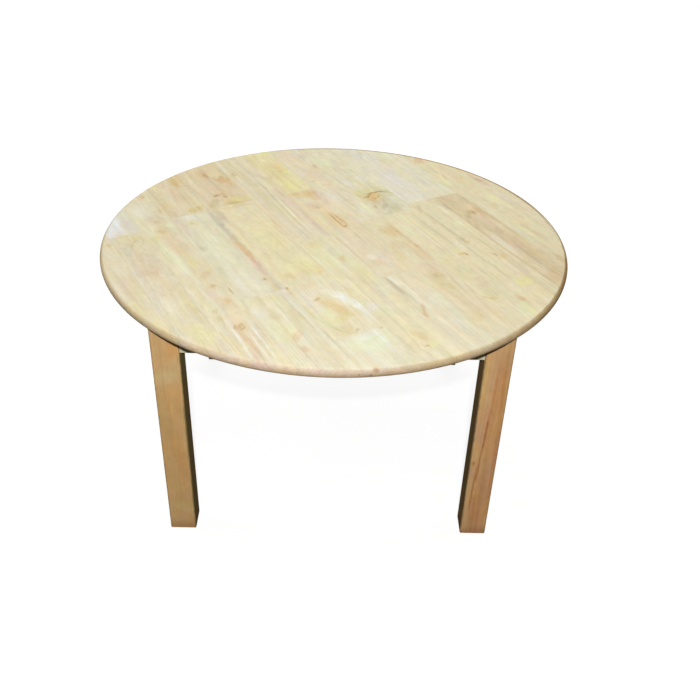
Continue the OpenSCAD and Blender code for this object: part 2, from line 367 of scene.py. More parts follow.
def make_rim():
    """Masks of the rounded rim: all of it, its lower half and its under edge for painted shade, its dirty
    specks, its side for painted shade with a thin dark margin round the back of the face, and its side for
    a painted highlight."""
    tree, start = new_group(
        "Rim", {"Place": ORIGIN, "Normal": (0.0, 0.0, 1.0), "Middle": 491.0, "Half height": 9.0})
    slope = calc(tree, "ABSOLUTE", parts(tree, start["Normal"])["Z"])
    height = calc(tree, "SUBTRACT", parts(tree, start["Place"])["Z"], start["Middle"])
    share = calc(tree, "DIVIDE", height, start["Half height"])
    uneven = waver(tree, start["Place"], (14.0, 14.0, 5.0), 3.0, 0.6)
    low = calc(tree, "MULTIPLY_ADD", uneven, 1.6, share)
    under = calc(tree, "MULTIPLY_ADD", uneven, 0.4, share)
    outward = vector(tree, "DIVIDE", start["Place"], (TOP_REACH, TOP_REACH, TOP_REACH))
    to_shaded = calc(tree, "MULTIPLY_ADD", uneven, 0.3, vector(tree, "DOT_PRODUCT", outward, SHADED_SIDE))
    # Painted highlight on the side of the rim towards the lamps
    to_lit = calc(tree, "MULTIPLY_ADD", uneven, 0.2, vector(tree, "DOT_PRODUCT", outward, LIT_SIDE))
    bend = ease(tree, slope, 0.92, 0.998, 1.0, 0.0)
    # Painted shade on the side of the rim turned away from the light
    side = times(tree, bend, ease(tree, to_shaded, 0.0, 0.7, 0.0, 0.75))
    level = vector(tree, "MULTIPLY", outward, (1.0, 1.0, 0.0))
    margin = ease(tree, vector(tree, "DOT_PRODUCT", level, level), *MARGIN)
    to_back = ease(tree, vector(tree, "DOT_PRODUCT", outward, DARK_BACK), 0.5, 0.85, 0.0, 0.95)
    speck = ease(tree, noise(tree, start["Place"], (1.6, 1.6, 1.0), 2.0, 0.6), 0.56, 0.70)
    patches = ease(tree, noise(tree, start["Place"], (30.0, 30.0, 12.0)), 0.40, 0.60, 0.2, 1.0)
    return close_group(tree, {
        "Edge": ease(tree, slope, 0.80, 0.992, 1.0, 0.0),
        "Low": ease(tree, low, -0.5, 0.5, 1.0, 0.0),
        "Under": ease(tree, under, -0.95, -0.55, 1.0, 0.0),
        "Specks": times(tree, speck, patches),
        "Shade and margin": calc(tree, "MAXIMUM", side, times(tree, margin, to_back)),
        "Highlight": ease(tree, to_lit, 0.86, 0.99)})


def make_end_grain():
    """How far a surface is cut across the grain, from its normal."""
    tree, start = new_group("End grain", {"Normal": (0.0, 0.0, 1.0), "Grain": (0.0, 1.0, 0.0)})
    facing = calc(tree, "ABSOLUTE", vector(tree, "DOT_PRODUCT", start["Normal"], start["Grain"]))
    return close_group(tree, {"Mask": ease(tree, facing, 0.35, 0.95)})


def make_post_shade():
    """Painted shade on the arrises of a square post and at its foot. The place is measured from the post's
    axis.
    """
    tree, start = new_group("Post shade", {"Place": ORIGIN, "Half width": 24.0, "Foot": 3.0})
    apart = parts(tree, vector(tree, "ABSOLUTE", start["Place"]))
    inward = calc(tree, "SUBTRACT", start["Half width"], calc(tree, "MINIMUM", apart["X"], apart["Z"]))
    patchy = noise(tree, start["Place"], (9.0, 30.0, 9.0), 3.0, 0.6)
    arris = ease(tree, inward, 1.5, 5.0, 1.0, 0.0)
    height = calc(tree, "SUBTRACT", parts(tree, start["Place"])["Y"], start["Foot"])
    ragged = calc(tree, "MULTIPLY_ADD", patchy, -12.0, height)
    return close_group(tree, {
        "Arris": times(tree, arris, ease(tree, patchy, 0.35, 0.6)),
        "Foot": ease(tree, ragged, -5.0, 24.0, 1.0, 0.0)})


def make_glue_line():
    """Hairline along the sides and ends of a stave, where the glue darkens the joint."""
    tree, start = new_group("Glue line", {"Place": ORIGIN, "Low": ORIGIN, "High": ORIGIN, "Width": 0.9})
    low = parts(tree, vector(tree, "SUBTRACT", start["Place"], start["Low"]))
    high = parts(tree, vector(tree, "SUBTRACT", start["High"], start["Place"]))
    side = calc(tree, "MINIMUM", low["X"], high["X"])
    tip = calc(tree, "MINIMUM", low["Y"], high["Y"])
    near = calc(tree, "ABSOLUTE", calc(tree, "MINIMUM", side, tip))
    line = ease(tree, near, 0.0, start["Width"], 1.0, 0.0)
    uneven = ease(tree, noise(tree, start["Place"], (12.0, 60.0, 12.0)), 0.4, 0.62, 0.25, 1.0)
    return close_group(tree, {"Mask": times(tree, line, uneven)})


SWIRL = make_swirl()
FIGURE = make_figure()
MARK = make_mark()
KNOT = make_knot()
RIM = make_rim()
END_GRAIN = make_end_grain()
POST_SHADE = make_post_shade()
GLUE_LINE = make_glue_line()


# Wood

def cleared(owner):
    """Empty node tree of a material or a world."""
    owner.use_nodes = True
    owner.node_tree.nodes.clear()
    return owner.node_tree


def surface(tree, output, shader):
    """Gives a tree its output node, fed by a shader."""
    tree.links.new(shader.outputs[0], add(tree, output).inputs["Surface"])


def new_material(name):
    """Material with one Principled shader. Returns it, its tree and the shader's inputs."""
    material = bpy.data.materials.new(name)
    tree = cleared(material)
    shader = add(tree, "BsdfPrincipled")
    surface(tree, "OutputMaterial", shader)
    return material, tree, shader.inputs


def bumps(tree, shader, height, strength, distance):
    """Fine relief, its distance in millimetres."""
    bump = add(tree, "Bump", {"Height": height, "Strength": strength, "Distance": distance * MM})
    feed(tree, shader["Normal"], bump.outputs["Normal"])


def grain_place(tree, turn, axis):
    """Millimetres in the grain frame, from object coordinates and the piece's own axis in metres."""
    centred = vector(tree, "SUBTRACT", add(tree, "TexCoord").outputs["Object"], axis)
    mapping = add(tree, "Mapping", {"Vector": centred, "Rotation": turn, "Scale": (TO_MM, TO_MM, TO_MM)})
    return mapping.outputs["Vector"]


def stained(tree, colour, share, strength, factor):
    """Colour times a factor, as far as the share and the strength say."""
    return mix(tree, times(tree, share, strength), colour, factor, "MULTIPLY")


def grained(tree, colour, figure, streaks, lines, ticks):
    """Streaks, lines and ticks, dark and pale."""
    shades = (
        ("Streaks", (0.5, 0.0), streaks * 2.0, (0.5, 1.0), streaks * 2.0),
        ("Lines", (-0.05, -0.20), lines * 0.8, (0.06, 0.20), lines),
        ("Ticks", (-0.03, -0.16), ticks * 0.45, (0.03, 0.16), ticks))
    for name, dark_range, dark, pale_range, pale in shades:
        darkened = ease(tree, figure[name], *dark_range, 0.0, dark)
        lightened = ease(tree, figure[name], *pale_range, 0.0, pale)
        colour = mix(tree, darkened, colour, GREY_DARK, "MULTIPLY")
        colour = mix(tree, lightened, colour, PALE_LIGHT, "MULTIPLY")
    return colour


def rounded(tree, colour, place, normal):
    """Colour of a stave's share of the rounded rim. Returns it and where the rim is."""
    middle, half_height = (TOP_UNDER + TOP_FACE) / 2, (TOP_FACE - TOP_UNDER) / 2
    rim = use(tree, RIM, Place=place, Normal=normal, Middle=middle, Half_height=half_height)
    edge = rim["Edge"]

    # The painted highlight fades towards the lower half
    above = calc(tree, "SUBTRACT", 1.0, times(tree, rim["Low"], 0.6))
    # The rim's own colour and specks; painted shade on its lower half, its under edge and one side; and a
    # painted highlight on its front
    for name, share in (
            ("rim", edge), ("low rim shade", times(tree, edge, rim["Low"])),
            ("under rim shade", times(tree, edge, rim["Under"])), ("rim shade and margin", rim["Shade and margin"]),
            ("rim highlight", times(tree, edge, times(tree, rim["Highlight"], above))),
            ("specks", times(tree, edge, rim["Specks"]))):
        colour = stained(tree, colour, share, *WEAR_AND_SHADE[name])
    return colour, edge


def wood(name, tone, second, seed, turn, grain, pith, ring_width, axis=ORIGIN,
         tilt=(0.06, 0.0, 0.02), marks=(), knots=(), rings=0.12, streaks=0.05, lines=0.38, ticks=0.40,
         flecks=0.0, blotch=0.7, pores=0.3, ends=0.5, swirl=1.0, roughness=0.45, sheen=0.03,
         joint=None, post=None):
    """Lacquered or bare wood of one board, in a main and a second tone, with its own marks and knots.

    A mark is (stain, strength, centre, half size, lean) and a knot is (stain, strength, centre, half size).
    A stave's joint is its lowest and highest corner. A leg's post is its half width and the height
    of its foot.
    """
    material, tree, shader = new_material(name)
    place = grain_place(tree, turn, axis)
    offset = [seed * step for step in SEED_STEP]
    bending = use(tree, SWIRL, Place=place, Tree=offset, Amount=swirl)
    bent = bending["Place"]

    # The grain bends round the knots
    pushed = bent
    knot_masks = []
    for stain, strength, centre, half_size in knots:
        masks = use(tree, KNOT, Place=bent, Centre=centre, Half_size=half_size)
        knot_masks.append((stain, strength, masks))
        pushed = vector(tree, "ADD", pushed, sideways(tree, masks["Push"]))
    figure = use(tree, FIGURE, Place=pushed, Tree=offset, Pith=pith, Tilt=tilt, Ring_width=ring_width)

    colour = mix(tree, times(tree, figure["Blotch"], blotch), TONES[tone], TONES[second])
    tints = parts(tree, figure["Tint"])
    swing = (1.0, 1.0, 1.0)
    for part, reach in SWINGS.items():
        swing = vector(tree, "ADD", swing, scaled(tree, reach, tints[part]))
    colour = vector(tree, "MULTIPLY", colour, swing)
    for stain, strength, centre, half_size, lean in marks:
        mask = use(tree, MARK, Place=bent, Centre=centre, Half_size=half_size, Lean=lean,
                   Ragged=bending["Ragged"])["Mask"]
        colour = stained(tree, colour, mask, strength, STAINS[stain])
    colour = stained(tree, colour, figure["Rings"], rings, WARM_DARK)
    colour = grained(tree, colour, figure, streaks, lines, ticks)
    if flecks:
        colour = stained(tree, colour, figure["Flecks"], flecks, WARM_DARK)
    fibre = ease(tree, figure["Fibre"], 0.3, 0.7, 0.0, FIBRES)
    colour = mix(tree, fibre, colour, GREY_DARK, "MULTIPLY")
    colour = stained(tree, colour, figure["Pores"], pores, PORE_DARK)
    for stain, strength, masks in knot_masks:
        colour = stained(tree, colour, masks["Halo"], strength * KNOT_HALO, STAINS["orange"])
        colour = stained(tree, colour, masks["Core"], strength, STAINS[stain])
        colour = stained(tree, colour, masks["Rim"], strength * KNOT_RIM, STAINS["bark"])

    normal = add(tree, "NewGeometry").outputs["Normal"]
    across = use(tree, END_GRAIN, Normal=normal, Grain=grain)["Mask"]
    cut_end = across
    dull = calc(tree, "MULTIPLY_ADD", figure["Streaks"], STREAK_DULL, roughness)
    if joint:
        line = use(tree, GLUE_LINE, Place=place, Low=joint[0], High=joint[1])["Mask"]
        colour = stained(tree, colour, line, *WEAR_AND_SHADE["glue"])
        colour, edge = rounded(tree, colour, place, normal)
        cut_end = times(tree, edge, across)
        dull = calc(tree, "MULTIPLY_ADD", edge, RIM_DULL, dull)
    colour = stained(tree, colour, cut_end, ends, END_DARK)
    # Painted shade on the arrises and at the foot
    if post:
        post_shade = use(tree, POST_SHADE, Place=place, Half_width=post[0], Foot=post[1])
        colour = stained(tree, colour, post_shade["Arris"], *WEAR_AND_SHADE["arris"])
        colour = stained(tree, colour, post_shade["Foot"], *WEAR_AND_SHADE["foot"])
    feed(tree, shader["Base Color"], colour)
    feed(tree, shader["Roughness"], calc(tree, "MULTIPLY_ADD", across, END_DULL, dull))
    shader["Specular IOR Level"].default_value = sheen
    relief = calc(tree, "MULTIPLY_ADD", figure["Pores"], -1.0, times(tree, figure["Fibre"], 0.5))
    bumps(tree, shader, relief, strength=0.35, distance=0.08)
    return material


def paint(node, material):
    """Gives a CAD node its material."""
    nodes[node].material_slots[0].material = material


# The top's staves

def mark(stain, strength, a, b, half_w, half_l, lean=0.0):
    """Mark on the top's face, at a across the boards and b along them."""
    return (stain, strength, (a, b, TOP_FACE), (half_w, half_l, MARK_DEPTH), lean)


def knot(stain, strength, a, b, half_w, half_l):
    """Knot that goes through the top."""
    return (stain, strength, (a, b, TOP_FACE), (half_w, half_l, KNOT_DEPTH))


def speck(strength, a, b, z, size):
    """Small dark mark on the rounded rim."""
    return ("cedar", strength, (a, b, z), (size, size, size / 2), 0.0)


# Each stave has its main and second tone, its marks, its knots, and what differs in its figure. Marks and
# knots are listed by their stain: strength, place across and along, half width, half length and, for some
# marks, a lean.
STAVES = {
    "a1": ("straw", "lilac", dict(
        lilac=[(0.8, -416, 100, 12, 60)], slate=[(0.9, -407, 5, 2, 40)], brown=[(0.5, -408, 155, 6, 7)],
        plum=[(0.8, -425, -20, 12, 40)]), {}, dict(flecks=0.1)),
    "b1": ("cream", "lilac", dict(
        olive=[(0.9, -353, 156, 5, 18, 0.3), (0.7, -340, 150, 5, 14, -0.3), (0.9, -345, -115, 6, 60)],
        slate=[(0.9, -366, 125, 2, 26, 0.7), (0.8, -350, 128, 2, 22, 0.6), (0.8, -337, -125, 2, 60)],
        moss=[(0.5, -388, 112, 14, 16), (0.6, -392, -190, 12, 24)],
        red=[(0.3, -368, 40, 24, 52), (0.3, -374, 20, 16, 12)], white=[(0.5, -380, -110, 12, 28)],
        lime=[(0.8, -362, -215, 20, 34)]), {}, dict(flecks=0.22)),
    "b2": ("whitish", "lilac", dict(
        white=[(1.0, -376, 236, 14, 46), (0.7, -394, 190, 9, 24)], plum=[(0.7, -354, 232, 5, 30)],
        green=[(0.6, -342, 262, 6, 26)]), {}, dict(streaks=0.06)),
    "c1": ("straw", "lilac", dict(
        slate=[(0.9, -333, -250, 2, 40), (0.8, -286, -280, 2, 52)],
        white=[(0.8, -338, -245, 2, 46), (1.0, -312, -255, 3, 62, 0.05), (0.8, -293, -285, 2, 44),
            (0.7, -281, -270, 2, 50)], red=[(0.65, -302, -272, 5, 40, -0.05)],
        pink=[(0.9, -308, -312, 4, 22), (0.2, -292, -190, 20, 14)], olive=[(0.8, -318, -178, 6, 8)]),
        dict(brown=[(1.0, -300, -215, 8, 11)]), dict(streaks=0.16, flecks=0.12)),
    "c2": ("cream", "pale", dict(
        white=[(0.45, -308, 265, 26, 34)], pink=[(0.8, -290, 330, 12, 12), (0.6, -289, 92, 15, 40)],
        plum=[(0.6, -280, 226, 8, 16), (0.9, -298, -108, 9, 16)],
        green=[(1.0, -275, 180, 8, 10), (1.0, -315, 60, 7, 84, -0.06)],
        olive=[(0.7, -330, 140, 20, 14), (0.9, -288, 20, 7, 22)],
        orange=[(0.25, -297, 152, 14, 34), (0.9, -282, -136, 7, 9)],
        tan=[(0.3, -288, 70, 14, 44), (0.6, -286, -156, 14, 14)],
        red=[(0.6, -284, -34, 7, 20, 0.5), (0.5, -288, -134, 14, 14)], lime=[(0.9, -274, -18, 5, 9)],
        bark=[(0.7, -264, -101, 4, 12)], slate=[(0.8, -264, 120, 3, 74)]),
        dict(orange=[(0.7, -298, 157, 7, 7)], brown=[(0.6, -292, 203, 7, 6), (1.0, -287, -82, 6, 5)],
        slate=[(0.8, -286, 327, 5, 5), (0.9, -272, 252, 3, 9)], pink=[(0.5, -315, -160, 4, 5)]), {}),
    "d1": ("pale", "pale", dict(
        olive=[(0.6, -225, -152, 30, 9), (0.5, -204, -235, 12, 40)], plum=[(0.8, -184, -158, 8, 16)],
        lilac=[(0.8, -252, -190, 16, 14)], lime=[(0.8, -240, -255, 18, 34), (0.9, -207, -166, 3, 30)],
        red=[(0.8, -222, -276, 8, 16, 0.5), (0.8, -228, -320, 8, 8)],
        pink=[(0.9, -264, -292, 9, 14), (0.9, -219, -343, 4, 22, -0.3), (0.9, -193, -358, 12, 5)],
        slate=[(0.9, -189, -246, 2, 26), (0.8, -213, -188, 2, 26)]),
        dict(slate=[(0.4, -232, -208, 4, 4)]), dict(streaks=0.12, flecks=0.08)),
    "d2": ("pale", "green", dict(
        lilac=[(1.0, -226, 190, 20, 16)],
        plum=[(0.9, -257, 160, 7, 46), (1.0, -184, 105, 8, 44), (1.0, -187, -42, 8, 36),
            (0.9, -225, -132, 6, 10)], slate=[(0.7, -257, 90, 4, 40), (0.8, -184, 110, 6, 40)],
        navy=[(0.35, -256, 55, 9, 10), (1.0, -184, 165, 8, 46, -0.04), (0.3, -255, -30, 7, 12)],
        green=[(0.35, -228, 60, 26, 70)], olive=[(0.9, -178, 76, 7, 12)],
        red=[(1.0, -185, 22, 8, 54, -0.05), (0.5, -187, -70, 7, 60), (0.4, -190, -125, 9, 20)],
        orange=[(0.7, -184, 25, 5, 36)], white=[(0.15, -238, -72, 22, 60)]),
        dict(slate=[(0.9, -235, 162, 5, 5)], bark=[(0.8, -192, -90, 4, 4)]), dict(flecks=0.05)),
    "d3": ("tan", "cream", dict(
        lime=[(1.0, -247, 360, 8, 12)],
        orange=[(0.9, -200, 368, 9, 34), (0.7, -185, 376, 7, 26), (0.8, -212, 224, 7, 8),
            (0.4, -254, 262, 4, 10)],
        slate=[(0.9, -200, 370, 2, 30), (0.6, -180, 310, 4, 60), (0.5, -250, 285, 3, 30)],
        white=[(0.5, -222, 330, 3, 40, 0.15), (0.6, -206, 209, 7, 3)], pink=[(0.5, -218, 300, 14, 50)],
        olive=[(0.9, -208, 226, 18, 13), (0.8, -190, 228, 9, 10)], lilac=[(0.4, -240, 225, 14, 16)]),
        {}, dict(streaks=0.16, flecks=0.08)),
    "e1": ("pale", "green", dict(
        white=[(0.4, -115, -330, 26, 10), (0.25, -130, -375, 40, 60), (0.6, -104, -350, 2, 34)],
        plum=[(0.2, -150, -385, 18, 34)], lilac=[(0.6, -96, -345, 3, 30)],
        green=[(1.0, -130, -355, 34, 24)]),
        dict(slate=[(0.7, -92, -322, 5, 5)]), dict(streaks=0.06, flecks=0.05)),
    "e2": ("straw", "pale", dict(
        lilac=[(0.7, -158, -205, 13, 34), (0.7, -128, -168, 26, 12), (0.5, -92, -285, 9, 18)],
        white=[(0.9, -107, -196, 13, 20, -0.4), (1.0, -95, -228, 11, 26, -0.35), (0.7, -86, -262, 7, 26)],
        orange=[(0.7, -127, -228, 13, 34, -0.35)], red=[(0.3, -120, -240, 7, 16, -0.35)],
        olive=[(1.0, -123, -264, 20, 11)], lime=[(0.5, -150, -250, 16, 26)],
        tan=[(0.6, -148, -296, 22, 18)],
        slate=[(0.9, -174, -222, 2, 28, -0.04), (0.8, -152, -294, 3, 12, -0.8)],
        moss=[(1.0, -165, -268, 4, 26, -0.35)], bark=[(0.6, -144, -190, 7, 4, 0.6)]),
        dict(brown=[(1.0, -125, -313, 4, 3)], bark=[(0.9, -174, -142, 4, 4), (0.7, -175, -158, 3, 4)]),
        dict(rings=0.16)),
    "e3": ("straw", "straw", dict(
        tan=[(0.8, -122, 205, 38, 7), (0.7, -150, -100, 16, 11)], navy=[(0.8, -169, 180, 8, 34)],
        plum=[(0.6, -166, 150, 6, 34), (0.8, -81, 40, 4, 30)],
        lime=[(0.45, -120, 66, 26, 70, 0.2), (0.8, -140, 115, 9, 10), (0.55, -112, -72, 30, 34)],
        red=[(0.9, -80, 178, 4, 32), (1.0, -81, 110, 4, 56)], pink=[(1.0, -86, 84, 7, 14)],
        moss=[(0.3, -134, -18, 26, 30)], orange=[(0.7, -95, -124, 7, 16)],
        olive=[(0.5, -104, -105, 24, 24)], slate=[(0.9, -86, -40, 3, 44)]), {}, {}),
    "e4": ("tan", "umber", dict(
        white=[(0.5, -166, 330, 5, 66)], lilac=[(0.9, -165, 268, 4, 20, 0.3)],
        orange=[(0.3, -156, 380, 9, 24), (0.9, -92, 338, 8, 10), (0.7, -90, 318, 5, 12)],
        plum=[(0.55, -120, 300, 32, 46)],
        red=[(0.4, -134, 374, 7, 22), (0.7, -105, 342, 8, 16, -0.4), (1.0, -130, 264, 12, 5)],
        bark=[(0.8, -144, 266, 6, 6), (0.7, -127, 248, 4, 8)], lime=[(1.0, -104, 232, 22, 16)],
        olive=[(0.9, -120, 222, 20, 12)], brown=[(0.6, -120, 216, 22, 7)],
        slate=[(0.9, -160, 236, 9, 16, 0.4)], moss=[(1.0, -85, 370, 4, 50)]),
        dict(brown=[(1.0, -125, 372, 4, 12), (0.9, -99, 354, 6, 7)]), dict(flecks=0.05)),
    "f1": ("straw", "pale", dict(
        olive=[(0.9, -50, -18, 12, 17)],
        lime=[(0.6, -60, -70, 22, 44), (1.0, -36, -404, 9, 11), (0.6, -22, -120, 12, 50)],
        orange=[(0.8, -32, -83, 8, 8), (0.8, -44, -372, 7, 16, -0.3)],
        tan=[(0.3, -34, -168, 10, 40), (0.5, -52, -390, 18, 12)],
        slate=[(0.8, -24, -175, 2, 44), (0.7, -30, -260, 2, 50)],
        lilac=[(0.7, -70, -172, 7, 14), (0.8, -72, -262, 14, 12)], moss=[(0.5, -62, -282, 14, 10)],
        plum=[(0.4, -12, -60, 3, 60)]), dict(bark=[(0.7, -48, -404, 4, 4)]), dict(streaks=0.12)),
    "f2": ("cream", "cream", dict(
        white=[(0.8, -74, 378, 4, 44), (0.6, -69, 308, 6, 26), (0.7, -35, 130, 2, 90)],
        pink=[(1.0, -58, 330, 3, 11)], navy=[(0.6, -36, 345, 3, 92), (0.5, -8, 400, 3, 40)],
        slate=[(0.8, -37, 240, 2, 60), (0.9, -40, 100, 2, 90), (0.8, -29, 160, 2, 70),
            (0.8, -17, 205, 4, 18)], plum=[(0.7, -22, 330, 8, 34), (1.0, -16, 150, 10, 110)],
        olive=[(1.0, -12, 292, 5, 30, 0.2)],
        lilac=[(0.7, -67, 212, 7, 30), (0.9, -60, 260, 4, 30), (0.7, -57, 70, 12, 60)]),
        dict(slate=[(1.0, -66, 350, 5, 6)]), dict(streaks=0.18)),
    "g1": ("pale", "straw", dict(
        navy=[(1.0, 4, -228, 5, 32)], white=[(0.8, 12, -206, 5, 20), (0.15, 34, -300, 26, 90)],
        slate=[(0.8, 28, -215, 2, 30), (0.8, 10, -265, 2, 40), (0.7, 22, -330, 2, 60),
            (0.6, 38, -400, 8, 30)], plum=[(0.4, 46, -230, 13, 46), (0.2, 30, -320, 20, 60)],
        lilac=[(0.5, 18, -262, 6, 40)], red=[(0.9, 9, -304, 3, 18, 0.4), (1.0, 1, -325, 4, 8)]),
        {}, dict(streaks=0.12, flecks=0.05)),
    "g2": ("cream", "peach", dict(
        orange=[(0.9, 28, 200, 26, 15), (0.7, 37, 66, 12, 44)], red=[(0.8, 44, 184, 12, 20)],
        olive=[(0.9, 6, 206, 12, 6)], plum=[(1.0, 55, 166, 5, 40), (0.8, 22, 150, 16, 14)],
        bark=[(0.8, 32, 64, 2, 32, 0.05), (0.7, 43, 60, 2, 32, -0.05), (0.8, 37, 29, 5, 3)],
        pink=[(1.0, 55, 72, 5, 10), (1.0, 24, -130, 4, 16, 0.5)], lime=[(0.8, 12, 84, 12, 20)],
        tan=[(0.5, 22, 60, 14, 40)], moss=[(0.9, 38, -16, 3, 42)],
        slate=[(0.8, 37, -50, 2, 40), (0.9, -4, -60, 2, 60)],
        lilac=[(0.35, 22, -66, 26, 46), (0.6, 40, -128, 16, 36)],
        white=[(0.6, 18, -108, 9, 10), (0.4, 12, -158, 16, 14)]), dict(navy=[(1.0, 23, 133, 8, 7)]), {}),
    "g3": ("yellow", "straw", dict(
        olive=[(0.7, 18, 332, 16, 44, 0.15)], orange=[(0.45, 42, 345, 10, 40, 0.2)],
        lime=[(0.8, 26, 262, 22, 30), (0.9, 42, 424, 14, 12)], green=[(0.6, 44, 315, 9, 14)]),
        {}, dict(streaks=0.05)),
    "h1": ("cream", "peach", dict(
        orange=[(0.7, 106, -34, 17, 24)],
        tan=[(0.5, 84, -92, 18, 16, 0.3), (0.8, 112, -120, 11, 44), (0.5, 92, -218, 17, 18)],
        olive=[(0.7, 72, -132, 9, 22), (0.7, 84, -254, 22, 24), (0.8, 75, -372, 14, 12)],
        red=[(1.0, 120, -110, 4, 7)], plum=[(1.0, 96, -188, 16, 17)],
        slate=[(0.8, 117, -60, 2, 70), (0.9, 110, -258, 3, 50, 0.1), (0.6, 122, -285, 4, 20)]),
        dict(bark=[(0.35, 93, -216, 9, 9)], slate=[(0.8, 118, -40, 3, 4)]), dict(rings=0.14)),
    "h2": ("cream", "lilac", dict(
        lilac=[(1.0, 75, 302, 6, 16), (0.7, 76, 150, 13, 36)],
        plum=[(0.8, 92, 288, 16, 32), (0.7, 94, 214, 10, 5)], pink=[(0.7, 88, 392, 14, 16)],
        slate=[(0.9, 118, 380, 8, 16), (0.9, 96, 140, 3, 40), (0.9, 114, 176, 4, 20, -0.2),
            (0.8, 97, 88, 3, 20)], green=[(1.0, 114, 70, 8, 26)], white=[(0.4, 100, 68, 5, 20)]),
        dict(slate=[(1.0, 119, 322, 4, 6), (0.9, 131, 314, 3, 4), (0.7, 78, 245, 5, 3)]), {}),
    "i1": ("straw", "cream", dict(
        green=[(0.6, 162, 0, 12, 26), (0.6, 146, -52, 14, 30), (0.7, 164, -382, 16, 20)],
        slate=[(0.9, 188, -60, 3, 92), (0.8, 178, -262, 2, 46)], white=[(0.5, 159, -80, 4, 44)],
        lime=[(0.9, 181, -152, 7, 12)], orange=[(1.0, 181, -172, 7, 5), (0.9, 131, -330, 9, 5, -0.5)],
        moss=[(0.4, 148, -222, 12, 20), (0.4, 150, -305, 16, 30)], red=[(1.0, 182, -357, 6, 7)],
        pink=[(1.0, 180, -345, 5, 5)], plum=[(0.6, 150, -268, 10, 20)]),
        dict(bark=[(1.0, 188, -178, 4, 5)]), {}),
    "i2": ("green", "pale", dict(
        olive=[(0.8, 160, 138, 38, 28), (0.4, 163, 154, 28, 13), (0.8, 134, 138, 8, 16)],
        tan=[(0.6, 156, 110, 26, 26)], orange=[(0.6, 158, 120, 19, 18)],
        ginger=[(0.35, 152, 112, 12, 14, 0.5)],
        red=[(0.4, 152, 122, 14, 10, 0.8), (1.0, 170, 134, 10, 8, -2.9)],
        bark=[(0.9, 150, 132, 7, 8, 1.8), (0.6, 172, 135, 9, 6, -2.9), (0.7, 160, 112, 3, 3),
            (0.7, 168, 115, 3, 3)], brown=[(0.8, 193, 125, 7, 8, -1.65)],
        slate=[(1.0, 199, 134, 6, 7), (1.0, 194, 110, 8, 6), (0.8, 130, 135, 5, 6),
            (0.9, 166, 92, 4, 11, 0.4), (0.8, 146, 40, 8, 8), (0.9, 175, 62, 16, 16),
            (0.8, 128, 215, 3, 40)], moss=[(0.7, 190, 122, 12, 18)], plum=[(0.7, 150, 94, 13, 12)],
        navy=[(1.0, 157, 72, 9, 11, 0.6), (0.5, 162, 50, 12, 14)], green=[(0.5, 145, 332, 20, 24)],
        lilac=[(0.7, 140, 205, 9, 30)], white=[(0.3, 180, 215, 16, 24)]),
        dict(bark=[(0.9, 137, 78, 2, 6)]), {}),
    "j1": ("straw", "cream", dict(
        slate=[(0.9, 216, -60, 3, 76), (0.9, 216, 28, 4, 24, 0.3), (0.9, 214, -118, 8, 9),
            (0.9, 208, -255, 3, 40), (0.8, 228, -262, 3, 34)], navy=[(0.7, 205, -42, 4, 9)],
        green=[(1.0, 250, -58, 8, 10)], white=[(0.6, 258, 8, 4, 26)], red=[(0.9, 217, -133, 7, 6)],
        pink=[(0.9, 228, -194, 6, 6)], orange=[(0.7, 250, -214, 9, 8)],
        lime=[(0.5, 214, -265, 2, 40), (1.0, 222, -310, 16, 12)], olive=[(0.7, 225, -312, 16, 14)],
        lilac=[(0.6, 250, -275, 10, 20)]), dict(navy=[(1.0, 236, -201, 3, 6)]), dict(streaks=0.18)),
    "j2": ("whitish", "pale", dict(
        white=[(0.5, 206, 104, 2, 34)], lilac=[(0.5, 236, 150, 26, 70)],
        pink=[(0.5, 262, 262, 8, 34, 0.3), (0.6, 284, 332, 12, 14)], plum=[(0.6, 258, 222, 8, 20)],
        slate=[(0.8, 243, 330, 5, 24, 0.3)]), {}, dict(streaks=0.05, lines=0.25, ticks=0.6)),
    "k1": ("tan", "umber", dict(
        bark=[(0.3, 306, -22, 11, 13)], red=[(0.9, 322, -22, 6, 20)],
        pink=[(1.0, 316, -50, 7, 8), (0.8, 283, -70, 3, 22, 0.5)],
        navy=[(0.8, 273, 14, 5, 18, 0.2), (0.35, 305, -114, 9, 14), (0.2, 308, -255, 20, 60),
            (0.25, 302, -235, 8, 40)], white=[(0.6, 266, 14, 3, 24), (0.7, 279, -172, 9, 46)],
        slate=[(0.9, 286, -44, 6, 22, 0.5), (0.6, 276, -92, 4, 20, 0.5), (0.8, 291, -112, 5, 14),
            (0.9, 329, -60, 3, 100), (0.7, 322, 32, 8, 20)],
        plum=[(0.5, 312, -60, 14, 40), (0.6, 306, -165, 18, 50)], brown=[(0.4, 300, -325, 30, 34)]),
        dict(bark=[(0.6, 308, -22, 4, 5)]), dict(flecks=0.25, streaks=0.12)),
    "k2": ("pale", "pale", dict(
        olive=[(0.5, 285, 262, 16, 22)], green=[(0.9, 298, 298, 10, 14), (0.6, 322, 96, 9, 26)],
        lilac=[(0.3, 294, 150, 16, 60), (0.7, 302, 282, 6, 9)], slate=[(0.6, 292, 138, 3, 16)]),
        {}, dict(streaks=0.05, lines=0.25, ticks=0.6)),
    "l1": ("straw", "cream", dict(
        red=[(1.0, 354, 242, 16, 14)], pink=[(0.9, 372, 226, 10, 6), (0.9, 344, -214, 12, 8)],
        slate=[(0.8, 352, 186, 7, 24), (1.0, 355, 138, 4, 12), (0.8, 370, -172, 8, 28),
            (0.8, 384, -88, 5, 9)], green=[(0.8, 376, 204, 8, 14), (0.9, 342, 112, 9, 20)],
        lime=[(1.0, 388, 10, 8, 12)], navy=[(0.6, 366, -136, 5, 12)], moss=[(0.8, 350, -188, 8, 24)],
        brown=[(0.6, 345, -285, 12, 34)], orange=[(0.3, 378, 120, 9, 18), (0.4, 366, -30, 12, 12)]),
        {}, dict(flecks=0.1)),
